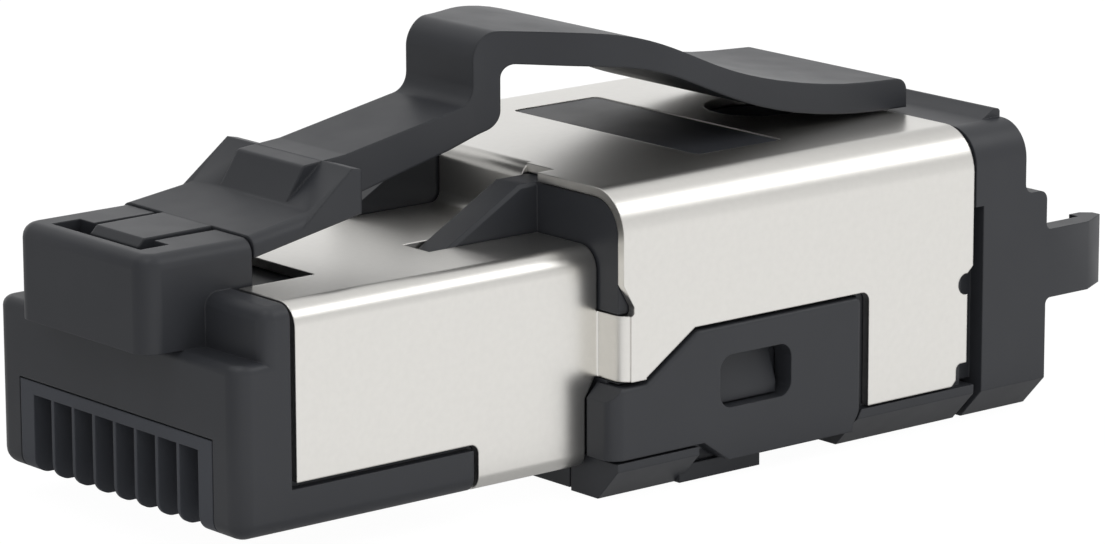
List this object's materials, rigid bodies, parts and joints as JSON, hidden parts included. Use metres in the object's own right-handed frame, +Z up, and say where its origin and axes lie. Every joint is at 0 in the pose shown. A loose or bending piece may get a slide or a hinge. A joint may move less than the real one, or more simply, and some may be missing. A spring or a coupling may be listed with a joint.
{
  "type": "shielded ethernet plug",
  "caption": "Field-attachable shielded modular network plug with a folded metal shield, contact comb, long over-arching latch lever and rear cable cap.",
  "frame": {"origin": "middle of the plug's length and width, on the plane that its bottom rails rest on", "axes": "+X across the plug, +Y along it from the nose to the cable, +Z up from the rails to the lever"},
  "size_m": [0.014, 0.0338, 0.0131],
  "materials": {
    "housing_plastic": "satin moulded, dark grey-black",
    "lever_plastic": "satin moulded, dark grey-black",
    "carrier_plastic": "satin moulded, dark grey-black",
    "insert_plastic": "satin moulded, dark grey",
    "shield_metal": "satin nickel plating on folded sheet",
    "board_laminate": "solder mask",
    "contact_gold": "gold plated",
    "terminal_metal": "tin plated"
  },
  "bodies": {
    "plug_body": {"plug_housing": "housing_plastic", "bottom_cover": "housing_plastic", "rear_cap": "housing_plastic", "contact_carrier": "carrier_plastic", "idc_block": "insert_plastic", "wire_manager": "insert_plastic", "shield_shell": "shield_metal", "braid_clamp": "shield_metal", "circuit_board": "board_laminate", "contact_blade_1": "contact_gold", "contact_blade_2": "contact_gold", "contact_blade_3": "contact_gold", "contact_blade_4": "contact_gold", "contact_blade_5": "contact_gold", "contact_blade_6": "contact_gold", "contact_blade_7": "contact_gold", "contact_blade_8": "contact_gold", "idc_terminal_1": "terminal_metal", "idc_terminal_2": "terminal_metal", "idc_terminal_3": "terminal_metal", "idc_terminal_4": "terminal_metal", "idc_terminal_5": "terminal_metal", "idc_terminal_6": "terminal_metal", "idc_terminal_7": "terminal_metal", "idc_terminal_8": "terminal_metal"},
    "lever": {"latch_lever": "lever_plastic"}
  },
  "joints": [
    {"name": "latch_press", "type": "hinge", "parent": "plug_body", "child": "lever", "pos_m": [0, 0.01144, 0.00921], "axis": [1, 0, 0], "range_deg": [0, 2], "stiffness_Nm_per_rad": 1}
  ]
}
